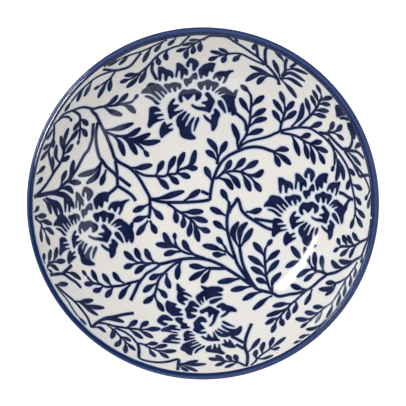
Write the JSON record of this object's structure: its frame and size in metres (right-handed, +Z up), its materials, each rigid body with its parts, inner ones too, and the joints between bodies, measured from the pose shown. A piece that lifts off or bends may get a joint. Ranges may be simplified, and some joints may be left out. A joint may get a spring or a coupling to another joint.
{
  "type": "soy sauce dish",
  "caption": "Small round porcelain dish with a deep curved well, an attached foot ring, clear glaze inside and out and a cobalt band over the lip; holds dipping sauce.",
  "frame": {"origin": "middle of the foot ring's standing face", "axes": "+Z up along the dish's axis of revolution, +Y towards the top of the picture, +X towards its right"},
  "size_m": [0.095, 0.095, 0.03],
  "materials": {
    "biscuit": "matte, fired, unglazed",
    "clear_glaze": "gloss, clear over white",
    "cobalt": "gloss, cobalt under glaze"
  },
  "bodies": {
    "root": {"bowl_body": "biscuit", "foot_ring": "biscuit", "inner_glaze": "clear_glaze", "outer_glaze": "clear_glaze", "base_glaze": "clear_glaze", "rim_band": "cobalt"}
  },
  "joints": []
}
